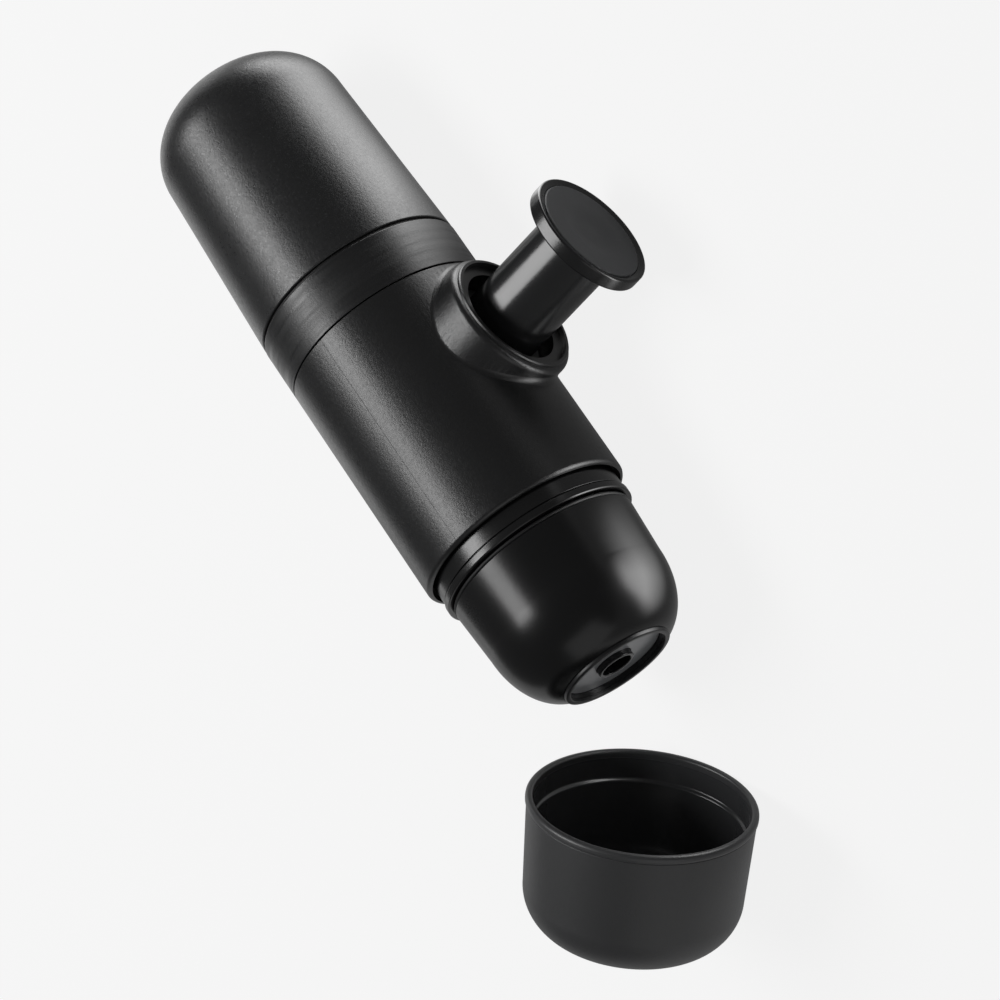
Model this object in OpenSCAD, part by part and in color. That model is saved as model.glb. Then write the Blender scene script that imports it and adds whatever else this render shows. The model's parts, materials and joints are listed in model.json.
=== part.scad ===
// Handheld manual espresso maker: a water tank screws onto one end of a round body, a spring-returned
// hand pump stands out of the side, and a domed outlet head with the filter basket screws into the
// other end. The cup is taken off and lies beside the outlet. Millimetres.
//
// The maker lies on its side, with its long axis along X: the tank's flat foot is at the origin and
// faces +X, and the outlet points to -X. It rests on the housing and on the rim of its drawn-out knob.
// Inside each module the pieces are drawn upright: z runs from the tank's foot to the outlet.

/* [Body] */
// Outside diameter of the body
body_d = 60; // [58:1:80]
// Length of the tank, from its foot to the seam with the band
tank_len = 72; // [60:1:110]
// How much narrower the tank is where its rounded end begins
tank_taper = 4.4; // [3:0.2:9]
// Length of the tank's rounded end
tank_round = 19; // [12:1:22]
// Diameter of the tank's flat foot
foot_d = 14; // [12:1:24]
// Wall of the tank
tank_wall = 2.4; // [1.6:0.2:3]
// Length of the fixed band below the tank
band_len = 16; // [14:1:24]
// Length of the main housing, from the band to its lower rim
housing_len = 67.2; // [64:0.1:90]
// Wall of the main housing
housing_wall = 2.6; // [2:0.2:3.2]
// Radius of the housing's rounded lower rim
rim_round = 1.2; // [0.6:0.1:1.4]
// Width of the dark seam between the tank and the band
tank_seam = 0.9; // [0.6:0.1:1.4]
// Width of the fine seam between the band and the housing
band_seam = 0.3; // [0.2:0.1:0.5]

/* [Tank thread] */
// Length of the threaded spigot that stands up into the tank
spigot_len = 8.5; // [8.5:0.5:12]
// Wall of the spigot
spigot_wall = 3; // [2:0.2:4]
// Radial room between a threaded tube and its partner
thread_gap = 0.3; // [0.2:0.05:0.5]

/* [Hand pump] */
// Distance from the band seam to the pump's axis
pump_pos = 21.3; // [21.3:0.1:26]
// Height of the collar's lip above the body
boss_rise = 4.8; // [4.6:0.1:8]
// Diameter of the collar below its lip
drum_d = 38.6; // [38:0.2:41]
// Radius of the hollow round where the collar meets the body
drum_foot = 1.8; // [1:0.1:2]
// Outside diameter of the collar's lip
lip_d = 36; // [36:0.2:37.4]
// Wall of the collar's lip
lip_wall = 1.1; // [0.9:0.1:1.5]
// Depth of the collar's mouth, down to its ledge
mouth_depth = 1.6; // [1.2:0.1:3]
// Travel of the pump
stroke = 27.8; // [20:0.2:30]
// Diameter of the push knob
knob_d = 34.8; // [33:0.2:36]
// Thickness of the push knob
knob_t = 4; // [3.6:0.1:6]
// Radius of the knob's rounded edges
knob_edge = 0.6; // [0.4:0.1:1.6]
// Diameter of the soft pad in the knob
pad_d = 30.4; // [26:0.2:31]
// Thickness of the pad
pad_t = 1.8; // [1.4:0.1:2.2]
// Diameter of the dimple in the pad
dimple_d = 15; // [10:1:20]
// Depth of the dimple in the pad
dimple_depth = 0.9; // [0.5:0.1:1]
// Outside diameter of the glossy sleeve
sleeve_d = 22; // [20:0.2:23]
// Wall of the sleeve
sleeve_wall = 1.4; // [1:0.1:1.8]
// Bore of the pump cylinder
pump_bore = 10; // [8:0.5:10.5]
// Wall of the pump cylinder
pump_wall = 1.5; // [1:0.1:1.6]
// Diameter of the pump rod
rod_d = 6; // [5:0.5:7]
// Length of the piston on the rod
piston_len = 6; // [5:0.5:8]
// Turn that locks the pressed knob
lock_turn = 30; // [20:5:40]
// Width of each locking lug
lug_w = 5; // [4:0.5:6]
// Height of each locking lug
lug_h = 2; // [1.5:0.5:3]
// Reach of each lug beyond the sleeve
lug_out = 1.4; // [1:0.1:1.6]

/* [Springs and valves] */
// Wire of the return spring
wire_d = 1.2; // [1:0.1:1.3]
// Turns of the return spring
spring_turns = 14; // [10:1:18]
// Wire of the valve springs
valve_wire = 0.5; // [0.4:0.1:0.6]
// Turns of the valve springs
valve_turns = 4; // [3:1:5]
// Diameter of a valve disc
valve_d = 6.8; // [6:0.2:7]
// Lift of a valve disc
valve_lift = 1.2; // [0.8:0.1:1.5]
// Diameter of the water passages
passage_d = 3.6; // [3:0.2:4]

/* [Outlet head] */
// Length of the ridged neck between the housing and the head
neck_len = 6.7; // [6:0.1:10]
// How far the neck is set back from the body's surface
neck_back = 2.3; // [1.8:0.1:2.6]
// How far the ridge at the neck's end is set back
ridge_back = 1.9; // [1.4:0.1:2.2]
// How far the outlet head is set back where it meets the neck
head_back = 3.1; // [2.8:0.1:3.6]
// How far the outlet head is set back where its dome begins
dome_back = 4; // [3.6:0.1:5]
// Length of the outlet head, from the neck to the tip
head_len = 36.6; // [34:0.2:44]
// Length of the head's domed end
dome_len = 20; // [16:1:22]
// Outside diameter of the ring round the outlet
outlet_ring_d = 31.6; // [28:0.2:34]
// Outside diameter of the spout's nozzle
nozzle_d = 10.4; // [9.6:0.2:12]
// How far the nozzle's mouth lies behind the ring
nozzle_back = 0.7; // [0.3:0.1:1.5]
// Diameter of the pocket in the nozzle's mouth
spout_pocket_d = 8.4; // [7:0.2:9]
// Bore of the spout
spout_d = 5.2; // [4.6:0.2:6]

/* [Brewing parts] */
// Depth of the brewing chamber inside the neck
chamber_depth = 20; // [18:1:24]
// Outside diameter of the filter basket
basket_d = 41.6; // [38:0.2:41.6]
// Depth of the filter basket
basket_depth = 20.5; // [16:0.5:22]
// Sheet thickness of the basket and the screens
sheet_t = 0.6; // [0.5:0.1:0.8]
// Diameter of the holes in the screens
screen_hole_d = 1.2; // [1:0.1:1.6]

/* [Cup] */
// Outside diameter of the cup's lip
cup_d = 60; // [60:1:64]
// Height of the cup
cup_h = 38.2; // [38:0.2:50]
// Diameter of the cup's shell just below the lip
cup_top_d = 59.3; // [59:0.1:59.6]
// Diameter of the cup's shell where its rounded base begins
cup_low_d = 57.4; // [56:0.2:58]
// Radius of the cup's rounded base
cup_base_r = 13; // [8:1:14]
// Inside diameter of the cup's mouth
cup_mouth_d = 56; // [55.6:0.2:56.4]
// Depth of the wide mouth, down to the ledge
cup_ledge_depth = 8; // [6:1:10]
// Inside diameter below the ledge
cup_inside_d = 54.4; // [53:0.2:54.8]

/* [Where the cup lies] */
// Distance of the cup's mouth past the outlet, along the maker
cup_ahead = 29; // [27:1:60]
// Distance of the cup's mouth to the side of the maker's axis
cup_aside = 19; // [15:1:40]
// Direction in which the cup's mouth faces, from +X
cup_turn = -56.7; // [-90:0.1:-20]

/* [Fits] */
// Radial room between fixed pieces
fit = 0.15; // [0.1:0.05:0.25]
// Radial room of a running fit
run = 0.05; // [0.03:0.01:0.08]
// Gap between a moving piece and its stop
stop_gap = 0.3; // [0.2:0.05:0.4]

/* [Hidden] */
$fn = 96;
// A cut runs this far past the face that it opens
past = 1;

body_r = body_d / 2;
inner_r = body_r - housing_wall;
block_r = inner_r - fit;
tank_mouth_r = body_r - 0.1;

// Stations along the maker, from the foot
seam_z = tank_len;
band_z = seam_z + band_len;
rim_z = band_z + housing_len;
neck_z = rim_z + neck_len;
tip_z = neck_z + head_len;
pump_z = band_z + pump_pos;

// Upper end: the deck closes the body, and its spigot stands in the tank
spigot_r = body_r - 4;
spigot_in = spigot_r - spigot_wall;
deck_z = seam_z + 7;
deck_t = 4.5;
skirt_end = band_z + 1.5;

// Collar and knob, as heights along the pump's axis from the maker's axis
lip_h = body_r + boss_rise;
lip_in = lip_d / 2 - lip_wall;
drum_r = drum_d / 2;
knob_under = lip_h + stop_gap + stroke;
knob_face = knob_under + knob_t;
ledge_h = lip_h - mouth_depth;
guide_r = lip_in + 0.4;
guide_len = 11.2;
guide_bottom = ledge_h - guide_len;
guide_t = 4;
ledge_w = 3.3;
sleeve_r = sleeve_d / 2;
sleeve_in = sleeve_r - sleeve_wall;
sleeve_bottom = guide_bottom - stop_gap - lug_h;
sleeve_seat = 0.9;
lug_r = sleeve_r + lug_out;
well_r = sleeve_r + 0.6;
groove_r = lug_r + 0.4;
barrel_r = groove_r + 1.6;
barrel_top = sleeve_bottom - 0.5;
well_floor = sleeve_bottom - stroke - 0.5;

// Pump chamber and the two valves, which share one line beside the pump's foot
seal_in = basket_d / 2 - 0.6;
plenum_r = seal_in - 1.2;
strainer_r = 5.4;
port_h = min(spigot_in - strainer_r - 0.8, plenum_r - passage_d / 2 - 0.4);
pump_floor = -(port_h + passage_d / 2 + 0.4);
barrel_foot = pump_floor - 4;
bore_r = pump_bore / 2;
cylinder_r = bore_r + pump_wall;
piston_face = pump_floor + passage_d + 0.8 + stroke;
cylinder_top = piston_face + piston_len + 1.5;
piston_r = bore_r - 0.1;
seat_t = 1.6;
pivot_d = 5;
pivot_depth = 1.6;
spring_r = (cylinder_r + sleeve_in) / 2;
valve_room_r = valve_d / 2 + 0.8;
tower_r = valve_room_r + 2.4;
stem_r = 0.9;
stem_len = 4;
disc_t = 1.2;
valve_coil_r = passage_d / 2 + valve_wire;
inlet_seat_z = deck_z + deck_t + 2.5;
inlet_floor_z = inlet_seat_z + disc_t + valve_lift + stem_len + 1;
outlet_seat_z = pump_z + barrel_r + 1.5;

// Brewing chamber and outlet head
ceiling_z = neck_z - chamber_depth;
plate_z = ceiling_z - deck_t;
plenum_d = 1.5;
chamber_r = body_r - 6;
neck_tube_r = body_r - 4;
head_r = body_r - head_back;
dome_r = body_r - dome_back;
male_r = chamber_r - thread_gap;
male_in = basket_d / 2 + 0.5;
male_top = ceiling_z + 5;
rim_t = 0.8;
head_shoulder = neck_z + stop_gap;
ring_cord = 1;
ring_seat = head_r - ring_cord;
tip_step = 1;
nozzle_r = nozzle_d / 2;
pocket_z = tip_z - 5.2;
bowl_end = pocket_z - 2;
dome_z = tip_z - dome_len;
dome_run = 13;
filter_z = male_top + basket_depth + 2;
screen_hole_r = screen_hole_d / 2;

// Posts and screws that join the pump block to the brew block
post_r = 3.4;
screw_r = 1.5;
screw_head_r = 2.8;
screw_len = 14;
post_at = (plenum_r - screw_head_r - 1) / sqrt(2);
web_t = 3;
web_half = barrel_r + 3;

// The maker rolls onto its knob until the knob's rim meets the table
knob_arm = knob_face - knob_edge;
knob_half = knob_d / 2 - knob_edge;
lie_roll = asin((body_r - knob_edge) / norm([knob_arm, knob_half])) - atan2(knob_half, knob_arm);

// The cup lies on its lip and on the foot of its wall
cup_lip_drop = 1.6;
cup_r = cup_d / 2;
cup_tilt = atan((cup_d - cup_low_d) / 2 / (cup_h - cup_lip_drop - cup_base_r));
cup_rim_up = cup_r * cos(cup_tilt) + cup_lip_drop * sin(cup_tilt) - body_r;

// Points on an arc of an ellipse, from angle a to angle b
function arc(centre, rx, ry, a, b, n = 8) =
    [for (i = [0:n]) centre + [rx * cos(a + (b - a) * i / n), ry * sin(a + (b - a) * i / n)]];

module spin(points) {
    rotate_extrude() polygon(points);
}

module tube(low, high, outer, bore) {
    translate([0, 0, low]) difference() {
        cylinder(h = high - low, r = outer);
        translate([0, 0, -past]) cylinder(h = high - low + 2 * past, r = bore);
    }
}

module rod(low, high, radius) {
    translate([0, 0, low]) cylinder(h = high - low, r = radius);
}

// Lays the upright maker on its side and rolls it onto its knob
module laid() {
    rotate([lie_roll, 0, 0]) rotate([0, -90, 0]) children();
}

// Stands what is drawn along z on the pump's axis
module at_pump() {
    translate([0, 0, pump_z]) rotate([90, 0, 0]) children();
}

// Moves what is drawn on the main axis to the valves' line
module at_valves() {
    translate([0, port_h, 0]) children();
}

// Moves what is drawn on the main axis to the air valve's line, clear of the webs
module at_vent() {
    translate([10, -10, 0]) children();
}

module at_posts() {
    for (x = [-post_at, post_at], y = [-post_at, post_at]) translate([x, y, 0]) children();
}

// Lays the upright cup on the table, with its mouth at the place given
module cup_place() {
    translate([-(tip_z + cup_ahead), cup_aside, cup_rim_up])
        rotate([0, 0, cup_turn]) rotate([0, 90 - cup_tilt, 0]) translate([0, 0, -cup_h]) children();
}

// A coil of round wire between two heights, whose first and last turns lie almost closed
module coil(low, high, radius, wire, turns) {
    sides = 6;
    steps = 12;
    rings = turns * steps;
    closed = wire + 0.1;
    open = (high - low - wire - 2 * closed) / (turns - 2);
    function climb(t) = t < 1 ? closed * t : t > turns - 1
        ? high - low - wire - closed * (turns - t) : closed + open * (t - 1);
    points = [for (i = [0:rings], k = [0:sides - 1]) let (
            turn = 360 * i / steps,
            around = 360 * k / sides,
            out = radius + wire / 2 * cos(around))
        [out * cos(turn), out * sin(turn), low + wire / 2 + climb(i / steps) + wire / 2 * sin(around)]];
    walls = [for (i = [0:rings - 1], k = [0:sides - 1]) let (
            a = i * sides + k,
            b = i * sides + (k + 1) % sides)
        each [[a, b, b + sides], [a, b + sides, a + sides]]];
    first = [for (k = [1:sides - 2]) [0, k + 1, k]];
    last = [for (k = [1:sides - 2]) [rings * sides, rings * sides + k, rings * sides + k + 1]];
    polyhedron(points = points, faces = concat(walls, first, last));
}

// A flat sheet with rings of small round holes
module screen(low, radius, rings, pitch) {
    difference() {
        rod(low, low + sheet_t, radius);
        rod(low - past, low + sheet_t + past, screen_hole_r);
        for (ring = [1:rings], i = [0:6 * ring - 1])
            rotate([0, 0, 60 * i / ring]) translate([pitch * ring, 0, 0])
                rod(low - past, low + sheet_t + past, screen_hole_r);
    }
}

// ---- Tank ----

module tank_shell() {
    end_r = tank_mouth_r - tank_taper / 2;
    foot_r = foot_d / 2;
    bore = spigot_r + thread_gap;
    slope = (tank_mouth_r - end_r) / (tank_len - tank_round);
    bore_end = tank_len - max(0, (tank_mouth_r - tank_wall - bore) / slope);
    outside = arc([foot_r, tank_round], end_r - foot_r, tank_round, -90, 0, 24);
    inside = arc([foot_r, tank_round], end_r - foot_r - tank_wall, tank_round - tank_wall, 0, -90, 12);
    color("#3a3a3d") laid() spin(concat(
        [[0, 0]], outside,
        [[tank_mouth_r, seam_z - 0.5], [tank_mouth_r - 0.4, seam_z], [bore, seam_z], [bore, bore_end]],
        inside, [[0, tank_wall]]));
}

module tank_gasket() {
    color("#151517") laid() tube(seam_z + 0.05, seam_z + tank_seam - 0.05, body_r - 1, spigot_r + fit);
}

// ---- Body ----

module band_ring() {
    low = seam_z + tank_seam;
    high = band_z - band_seam / 2;
    color("#3d3d40") laid() spin([
        [spigot_r + fit, low], [body_r - 0.4, low], [body_r, low + 0.4], [body_r, high - 0.2],
        [body_r - 0.2, high], [inner_r, high], [inner_r, deck_z - fit], [spigot_r + fit, deck_z - fit]]);
}

// Half outline of the collar that grows from the housing: drum, rounded shoulder and lip
function boss_outline() =
    let (lip_r = lip_d / 2, step = 0.9, shoulder = 1.7, bevel = 0.3)
    concat([[0, 0], [drum_r, 0]],
        arc([lip_r, lip_h - step - shoulder - 0.1], drum_r - lip_r, shoulder, 0, 78, 6),
        [[lip_r, lip_h - step], [lip_r, lip_h - bevel], [lip_r - bevel, lip_h], [0, lip_h]]);

// The hollow round at the collar's foot, as the path of a ball that rolls round in the corner
module boss_foot() {
    around = 72;
    sides = 6;
    sunk = 0.05;
    ball = drum_foot;
    run_r = drum_r + ball;
    run_body = body_r + ball;
    // A unit vector between two others, at a share of the angle from the first to the second
    function between(a, b, share) =
        let (whole = acos(a * b)) (sin((1 - share) * whole) * a + sin(share * whole) * b) / sin(whole);
    function section(turn) =
        let (
            x = run_r * sin(turn),
            y = run_r * cos(turn),
            height = sqrt(run_body * run_body - x * x),
            to_drum = [-sin(turn), -cos(turn), 0],
            to_body = [-x / run_body, 0, -height / run_body],
            centre = [x, y, height])
        concat(
            [centre + (ball + sunk) * to_drum],
            [for (i = [1:sides - 1]) centre + ball * between(to_drum, to_body, i / sides)],
            [centre + (ball + sunk) * to_body],
            [centre + (ball + 1) * (to_drum + to_body)]);
    row = sides + 2;
    points = [for (i = [0:around - 1]) each section(360 * i / around)];
    faces = [for (i = [0:around - 1], k = [0:row - 1]) let (
            a = i * row + k,
            b = i * row + (k + 1) % row,
            c = ((i + 1) % around) * row + (k + 1) % row,
            d = ((i + 1) % around) * row + k)
        each [[a, b, c], [a, c, d]]];
    polyhedron(points = points, faces = faces);
}

module main_housing() {
    low = band_z + band_seam / 2;
    rim_depth = 4.5;
    color("#2c2c2f") laid() difference() {
        union() {
            spin(concat([[0, low], [body_r - 0.2, low], [body_r, low + 0.2]],
                arc([body_r - rim_round, rim_z - rim_round], rim_round, rim_round, 0, 90, 5), [[0, rim_z]]));
            intersection() {
                at_pump() {
                    spin(boss_outline());
                    boss_foot();
                }
                rod(low, rim_z - 5, 2 * body_r);
            }
        }
        rod(low - past, rim_z + past, inner_r);
        rod(rim_z - rim_depth, rim_z + past, body_r - rim_round);
        at_pump() rod(0, ledge_h, guide_r + fit);
        at_pump() rod(0, lip_h + past, lip_in);
    }
}

module neck_ring() {
    wall = neck_tube_r + fit;
    out = body_r - neck_back;
    ridge = body_r - ridge_back;
    line_z = neck_z - 2.4;
    line_depth = 0.35;
    color("#1b1b1d") laid() spin([
        [wall, rim_z - 4], [out, rim_z - 4], [out, line_z - 0.1],
        [out - line_depth, line_z], [out - line_depth, line_z + 0.15], [ridge - 0.3, line_z + 0.25],
        [ridge, line_z + 0.6], [ridge, neck_z - 0.6], [ridge - 0.15, neck_z - 0.2],
        [ridge - 0.5, neck_z], [wall, neck_z]]);
}

// ---- Pump block and what it carries ----

module barrel_room() {
    // The well for the sleeve, with a groove for each lug and a pocket where it locks
    pocket_h = lug_h + 1.3;
    pocket_floor = well_floor + 0.2;
    spare = 14;
    rod(well_floor, barrel_top + past, well_r);
    for (side = [0, 180]) rotate([0, 0, side]) {
        translate([0, -lug_w / 2 - 0.5, well_floor])
            cube([groove_r, lug_w + 1, barrel_top - well_floor + past]);
        rotate([0, 0, -lock_turn - spare])
            translate([0, 0, pocket_floor]) rotate_extrude(angle = lock_turn + spare)
                translate([well_r - 1, 0]) square([groove_r - well_r + 1, pocket_h]);
    }
}

module pump_block() {
    color("#26282b") laid() difference() {
        union() {
            tube(seam_z - spigot_len, deck_z, spigot_r, spigot_in);
            rod(deck_z, deck_z + deck_t, block_r);
            tube(deck_z + deck_t - 0.5, skirt_end, block_r, block_r - 2);
            intersection() {
                union() {
                    at_pump() rod(barrel_foot, barrel_top, barrel_r);
                    at_valves() rod(deck_z, plate_z, tower_r);
                    at_posts() rod(pump_z, plate_z, post_r);
                    translate([-web_half, -web_t / 2, deck_z])
                        cube([2 * web_half, web_t, plate_z - deck_z - 6]);
                    translate([-web_t / 2, -web_half, deck_z])
                        cube([web_t, 2 * web_half, pump_z - deck_z]);
                }
                rod(deck_z, plate_z, block_r);
            }
        }
        at_pump() barrel_room();
        at_pump() rod(pump_floor, well_floor + past, cylinder_r + run);
        at_valves() {
            rod(deck_z - past, inlet_floor_z, valve_room_r);
            rod(inlet_floor_z - past, outlet_seat_z + past, passage_d / 2);
            rod(outlet_seat_z, plate_z + past, valve_room_r);
        }
        at_posts() rod(plate_z - screw_len, plate_z + past, screw_r + run);
        at_vent() rod(deck_z - past, deck_z + deck_t + past, 1.6);
    }
}

module pump_cylinder() {
    color("#c9ccd0") laid() difference() {
        at_pump() tube(pump_floor + 0.05, cylinder_top, cylinder_r, bore_r);
        at_valves() rod(pump_z - barrel_r, pump_z + barrel_r, passage_d / 2);
    }
}

module inlet_seat() {
    color("#d8d8d4") laid() at_valves() difference() {
        union() {
            rod(deck_z - 1.2, deck_z - 0.02, strainer_r);
            rod(deck_z - 0.1, inlet_seat_z, valve_room_r - run);
        }
        rod(deck_z - 2, inlet_seat_z + past, passage_d / 2);
    }
}

module intake_strainer() {
    top = deck_z - 6;
    color("#b9bcc0") laid() at_valves() difference() {
        spin([[0, top], [strainer_r - 1.5, top], [strainer_r - 0.5, top + 1],
            [strainer_r - 0.5, deck_z - 1.25], [strainer_r - 1.1, deck_z - 1.25],
            [strainer_r - 1.1, top + 1.2], [strainer_r - 1.8, top + 0.6], [0, top + 0.6]]);
        for (i = [0:11]) rotate([0, 0, 30 * i])
            translate([0, -0.4, top + 1.6]) cube([strainer_r + past, 0.8, 2.6]);
    }
}

// A valve disc with its guide stem, whose sealing face is at the height given
module poppet(face) {
    rod(face + 0.05, face + 0.05 + disc_t, valve_d / 2);
    rod(face + disc_t, face + disc_t + stem_len, stem_r);
}

module inlet_valve() {
    color("#8c2f2a") laid() at_valves() poppet(inlet_seat_z);
}

module outlet_valve() {
    color("#8c2f2a") laid() at_valves() poppet(outlet_seat_z);
}

module inlet_spring() {
    color("#c2c5c9") laid() at_valves()
        coil(inlet_seat_z + disc_t + 0.1, inlet_floor_z - 0.03, valve_coil_r, valve_wire, valve_turns);
}

module outlet_spring() {
    face = outlet_seat_z + disc_t;
    color("#c2c5c9") laid() at_valves()
        coil(face + 0.1, face + stem_len + 1.8, valve_coil_r, valve_wire, valve_turns);
}

module outlet_retainer() {
    low = outlet_seat_z + disc_t + stem_len + 1.85;
    color("#d8d8d4") laid() at_valves() tube(low, plate_z - 0.05, valve_room_r - run, passage_d / 2);
}

module air_valve() {
    color("#8c2f2a") laid() at_vent() spin([
        [0, deck_z - 1.6], [2, deck_z - 1.5], [4, deck_z - 0.5], [4, deck_z - 0.05], [1.5, deck_z - 0.05],
        [1.5, deck_z + deck_t + 0.1], [2.2, deck_z + deck_t + 0.6], [1.2, deck_z + deck_t + 2.2],
        [0, deck_z + deck_t + 2.2]]);
}

module collar_guide() {
    // Two notches let the sleeve's lugs in, a quarter turn away from where they work
    notch = lug_w + 1;
    color("#17171a") laid() at_pump() difference() {
        rod(guide_bottom, ledge_h - 0.05, guide_r);
        rod(guide_bottom + guide_t, ledge_h + past, guide_r - ledge_w);
        rod(guide_bottom - past, ledge_h, sleeve_r + run);
        translate([-notch / 2, -groove_r, guide_bottom - past])
            cube([notch, 2 * groove_r, guide_t + 2 * past]);
    }
}

module sleeve_wiper() {
    low = guide_bottom + guide_t + 0.05;
    color("#101012") laid() at_pump() tube(low, low + 1.5, groove_r + 0.8, sleeve_r + run);
}

module port_seal() {
    color("#151517") laid() at_valves()
        tube(plate_z + 0.02, plate_z + 1, tower_r - 0.6, valve_room_r + 0.5);
}

module brew_block() {
    color("#26282b") laid() difference() {
        union() {
            rod(plate_z, ceiling_z, block_r);
            tube(ceiling_z - 0.5, neck_z, neck_tube_r, chamber_r);
            rod(plate_z - 5, plate_z + 0.5, 4.5);
        }
        rod(ceiling_z - plenum_d, ceiling_z + past, plenum_r);
        rod(plate_z - 3, ceiling_z + past, 2 + run);
        at_valves() {
            rod(plate_z - past, ceiling_z + past, passage_d / 2);
            tube(plate_z - past, plate_z + 1.1, tower_r - 0.5, valve_room_r + 0.4);
        }
        at_posts() {
            rod(plate_z - past, ceiling_z + past, screw_r + fit);
            rod(ceiling_z - plenum_d - 1, ceiling_z + past, screw_head_r + fit);
        }
    }
}

module block_screws() {
    color("#a9adb2") laid() at_posts() {
        rod(plate_z - screw_len + 0.5, ceiling_z - plenum_d - 0.9, screw_r);
        rod(ceiling_z - plenum_d - 0.98, ceiling_z - 0.3, screw_head_r);
    }
}

module shower_screen() {
    color("#b9bcc0") laid() difference() {
        screen(ceiling_z + 0.02, seal_in - 0.2, 3, 5.4);
        rod(ceiling_z - past, ceiling_z + past, 2 + run);
    }
}

module screen_screw() {
    low = ceiling_z + sheet_t + 0.04;
    color("#a9adb2") laid() {
        rod(plate_z - 2.5, low + 0.5, 2);
        spin([[0, low], [3.6, low], [3.6, low + 1], [2.4, low + 1.8], [0, low + 2]]);
    }
}

module brew_seal() {
    color("#151517") laid() tube(ceiling_z + 0.02, male_top - rim_t - 0.02, chamber_r - thread_gap, seal_in);
}

// ---- Pump plunger and its handle, heights along the pump's axis ----

module plunger_rod() {
    groove = piston_r - 1.85;
    groove_low = piston_face + piston_len / 2 - 1.1;
    shoulder = knob_under - 0.1 - seat_t;
    color("#d0d2d5") laid() at_pump() spin([
        [0, piston_face], [piston_r, piston_face], [piston_r, groove_low], [groove, groove_low],
        [groove, groove_low + 2.2], [piston_r, groove_low + 2.2], [piston_r, piston_face + piston_len],
        [rod_d / 2, piston_face + piston_len], [rod_d / 2, shoulder], [pivot_d / 2, shoulder],
        [pivot_d / 2, knob_under + pivot_depth], [0, knob_under + pivot_depth]]);
}

module piston_seal() {
    cord = 0.95;
    color("#151517") laid() at_pump() translate([0, 0, piston_face + piston_len / 2])
        rotate_extrude() translate([bore_r - 0.03 - cord, 0]) circle(r = cord, $fn = 24);
}

module spring_seat() {
    color("#a9adb2") laid() at_pump()
        tube(knob_under - 0.1 - seat_t, knob_under - 0.1, sleeve_in - 0.3, pivot_d / 2 + run);
}

module return_spring() {
    color("#c2c5c9") laid() at_pump()
        coil(well_floor + 0.03, knob_under - 0.13 - seat_t, spring_r, wire_d, spring_turns);
}

module handle_sleeve() {
    color("#0e0e10") laid() at_pump() {
        difference() {
            union() {
                rod(sleeve_bottom, knob_under + sleeve_seat, sleeve_r);
                translate([-lug_r, -lug_w / 2, sleeve_bottom]) cube([2 * lug_r, lug_w, lug_h]);
            }
            rod(sleeve_bottom - past, knob_under + past, sleeve_in);
        }
    }
}

module knob_disc() {
    pad_seat = knob_face - pad_t - 0.25;
    color("#101012") laid() at_pump() difference() {
        spin(concat(
            [[0, knob_under]], arc([knob_half, knob_under + knob_edge], knob_edge, knob_edge, -90, 0, 4),
            arc([knob_half, knob_face - knob_edge], knob_edge, knob_edge, 0, 90, 4),
            [[pad_d / 2 + 0.1, knob_face], [pad_d / 2 + 0.1, pad_seat], [0, pad_seat]]));
        tube(knob_under - past, knob_under + sleeve_seat + 0.1, sleeve_r + 0.1, sleeve_in - 0.1);
        rod(knob_under - past, knob_under + pivot_depth + 0.1, pivot_d / 2 + run);
    }
}

module knob_pad() {
    top = knob_face - 0.2;
    bend = (dimple_d * dimple_d / 8 + dimple_depth * dimple_depth / 2) / dimple_depth;
    sweep = asin(dimple_d / 2 / bend);
    color("#38383b") laid() at_pump() spin(concat(
        [[0, top - pad_t]], [[pad_d / 2, top - pad_t], [pad_d / 2, top - 0.3], [pad_d / 2 - 0.3, top]],
        arc([0, top - dimple_depth + bend], bend, bend, -90 + sweep, -90, 8)));
}

// ---- Basket and outlet head ----

module filter_basket() {
    out = basket_d / 2;
    in = out - sheet_t;
    floor_z = male_top + basket_depth;
    color("#c4c7ca") laid() spin([
        [in, male_top - rim_t], [chamber_r - 0.8, male_top - rim_t], [chamber_r - 0.8, male_top - 0.02],
        [out, male_top - 0.02], [out, floor_z], [out - 2.4, floor_z], [out - 2.4, floor_z - sheet_t],
        [in, floor_z - sheet_t]]);
}

module basket_screen() {
    color("#b9bcc0") laid()
        screen(male_top + basket_depth - 2 * sheet_t - 0.02, basket_d / 2 - sheet_t - 0.05, 4, 4.2);
}

module outlet_head() {
    ring_r = outlet_ring_d / 2;
    ledge_r = male_in - 1.5;
    seat_end = head_shoulder + ring_cord + 0.1;
    end_turn = acos((ring_r - dome_r + dome_run) / dome_run);
    dome_half = (dome_len - tip_step) / sin(end_turn);
    filter_seat = filter_z + sheet_t + 0.02;
    bowl_r = ledge_r - 10.3;
    color("#121214") laid() difference() {
        spin(concat(
            [[0, male_top], [male_r, male_top], [male_r, head_shoulder], [ring_seat, head_shoulder]],
            [[ring_seat, seat_end], [head_r - 0.2, seat_end], [head_r, seat_end + 0.2]],
            arc([dome_r - dome_run, dome_z], dome_run, dome_half, 0, end_turn, 28),
            [[0, tip_z - tip_step]]));
        spin(concat(
            [[0, male_top - past], [male_in, male_top - past], [male_in, filter_seat], [ledge_r, filter_seat]],
            arc([bowl_r, dome_z], ledge_r - bowl_r, bowl_end - dome_z, 0, 90, 10),
            [[0, bowl_end]]));
        rod(bowl_end - past, tip_z + past, nozzle_r + fit);
        rod(tip_z - 3.7, tip_z + past, ring_r - 1.8);
    }
}

module head_grip_ring() {
    cord = ring_cord / 2;
    color("#08080a") laid() translate([0, 0, head_shoulder + cord + 0.03])
        rotate_extrude() translate([ring_seat + cord + 0.03, 0]) circle(r = cord, $fn = 24);
}

module outlet_filter() {
    color("#b9bcc0") laid() screen(filter_z, male_in - 0.2, 3, 5.4);
}

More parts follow.
